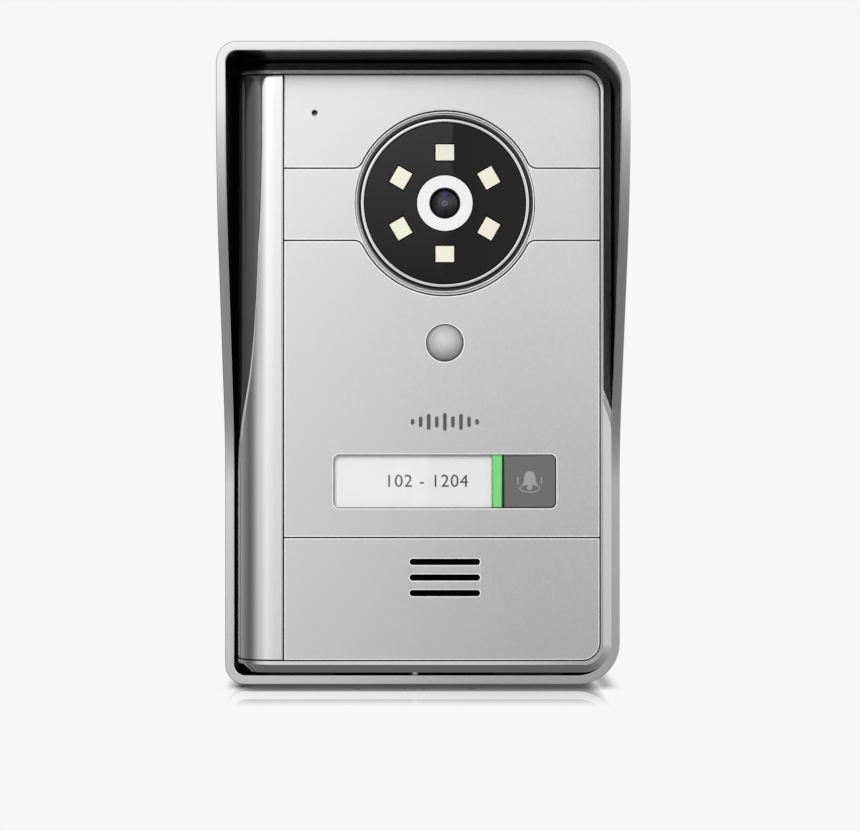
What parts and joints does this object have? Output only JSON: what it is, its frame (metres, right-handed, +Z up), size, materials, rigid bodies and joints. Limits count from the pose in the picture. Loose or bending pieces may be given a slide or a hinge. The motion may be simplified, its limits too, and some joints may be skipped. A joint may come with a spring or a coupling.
{
  "type": "door intercom panel",
  "caption": "Outdoor door intercom panel in a silver rain hood, with a ringed camera, motion sensor dome, lit name card, call key and speaker slots.",
  "frame": {"origin": "on the rain hood's flat back, on its middle line, where it meets the wall, at half the height of the visible face of the hood", "axes": "+X to the visitor's right as they face it, +Z up, +Y into the wall, so the front faces -Y"},
  "size_m": [0.0988, 0.0511, 0.1583],
  "materials": {
    "hood_silver": "fine metallic lacquer, satin",
    "liner_black": "gloss",
    "rubber_black": "matte",
    "screw_steel": "zinc plated",
    "frame_silver": "bright polished edge",
    "column_silver": "semi-polished",
    "plate_satin": "fine bead-blasted and anodised",
    "bezel_dark": "black chrome",
    "trim_bright": "polished",
    "window_black": "high gloss",
    "ring_white": "satin gloss",
    "black_plastic": "fine texture",
    "lens_coated": "coated",
    "led_cream": "smooth",
    "board_green": "solder mask",
    "pir_milky": "milky polyethylene",
    "can_steel": "nickel plated",
    "mark_grey": "printed ink",
    "window_clear": "clear acrylic",
    "card_white": "smooth card",
    "bar_green": "translucent light guide",
    "button_grey": "satin",
    "symbol_grey": "printed inlay",
    "plunger_white": "satin",
    "speaker_cloth": "woven acoustic mesh",
    "cone_black": "pressed",
    "magnet_grey": "ferrite and plated yoke",
    "capacitor_can": "sleeve and can",
    "terminal_green": "satin",
    "housing_black": "fine spark texture"
  },
  "bodies": {
    "station": {"rain_hood": "hood_silver", "hood_liner": "liner_black", "cable_grommet": "rubber_black", "window_seal": "rubber_black", "housing_seal": "rubber_black", "speaker_seal": "rubber_black", "mic_boot": "rubber_black", "locking_screw": "screw_steel", "housing_screws": "screw_steel", "board_screws": "screw_steel", "terminal_screws": "screw_steel", "front_frame": "frame_silver", "side_column": "column_silver", "face_plate": "plate_satin", "camera_bezel": "bezel_dark", "camera_trim_ring": "trim_bright", "camera_window": "window_black", "lens_ring": "ring_white", "lens_barrel": "black_plastic", "camera_carrier": "black_plastic", "sensor_holder": "black_plastic", "call_switch": "black_plastic", "nameplate_tray": "black_plastic", "board_chips": "black_plastic", "lens_glass": "lens_coated", "led_windows": "led_cream", "night_leds": "led_cream", "key_lamps": "led_cream", "led_board": "board_green", "sensor_board": "board_green", "key_board": "board_green", "main_board": "board_green", "pir_dome": "pir_milky", "pir_sensor": "can_steel", "speaker_frame": "can_steel", "mic_capsule": "can_steel", "sound_mark": "mark_grey", "nameplate_window": "window_clear", "name_card": "card_white", "status_light_bar": "bar_green", "board_connectors": "plunger_white", "speaker_mesh": "speaker_cloth", "speaker_cone": "cone_black", "speaker_magnet": "magnet_grey", "board_capacitors": "capacitor_can", "terminal_block": "terminal_green", "rear_housing": "housing_black"},
    "call_button": {"call_button": "button_grey", "bell_symbol": "symbol_grey"},
    "switch_plunger": {"switch_plunger": "plunger_white"}
  },
  "joints": [
    {"name": "call_button_press", "type": "slide", "parent": "station", "child": "call_button", "axis": [0, 1, 0], "range_m": [0, 0.0005], "stiffness_N_per_m": 1500, "springref_m": -0.0005},
    {"name": "switch_plunger_press", "type": "slide", "parent": "station", "child": "switch_plunger", "axis": [0, 1, 0], "range_m": [0, 0.0005]}
  ],
  "couplings": [
    {"joint": "switch_plunger_press", "follows": "call_button_press", "ratio": 1}
  ]
}
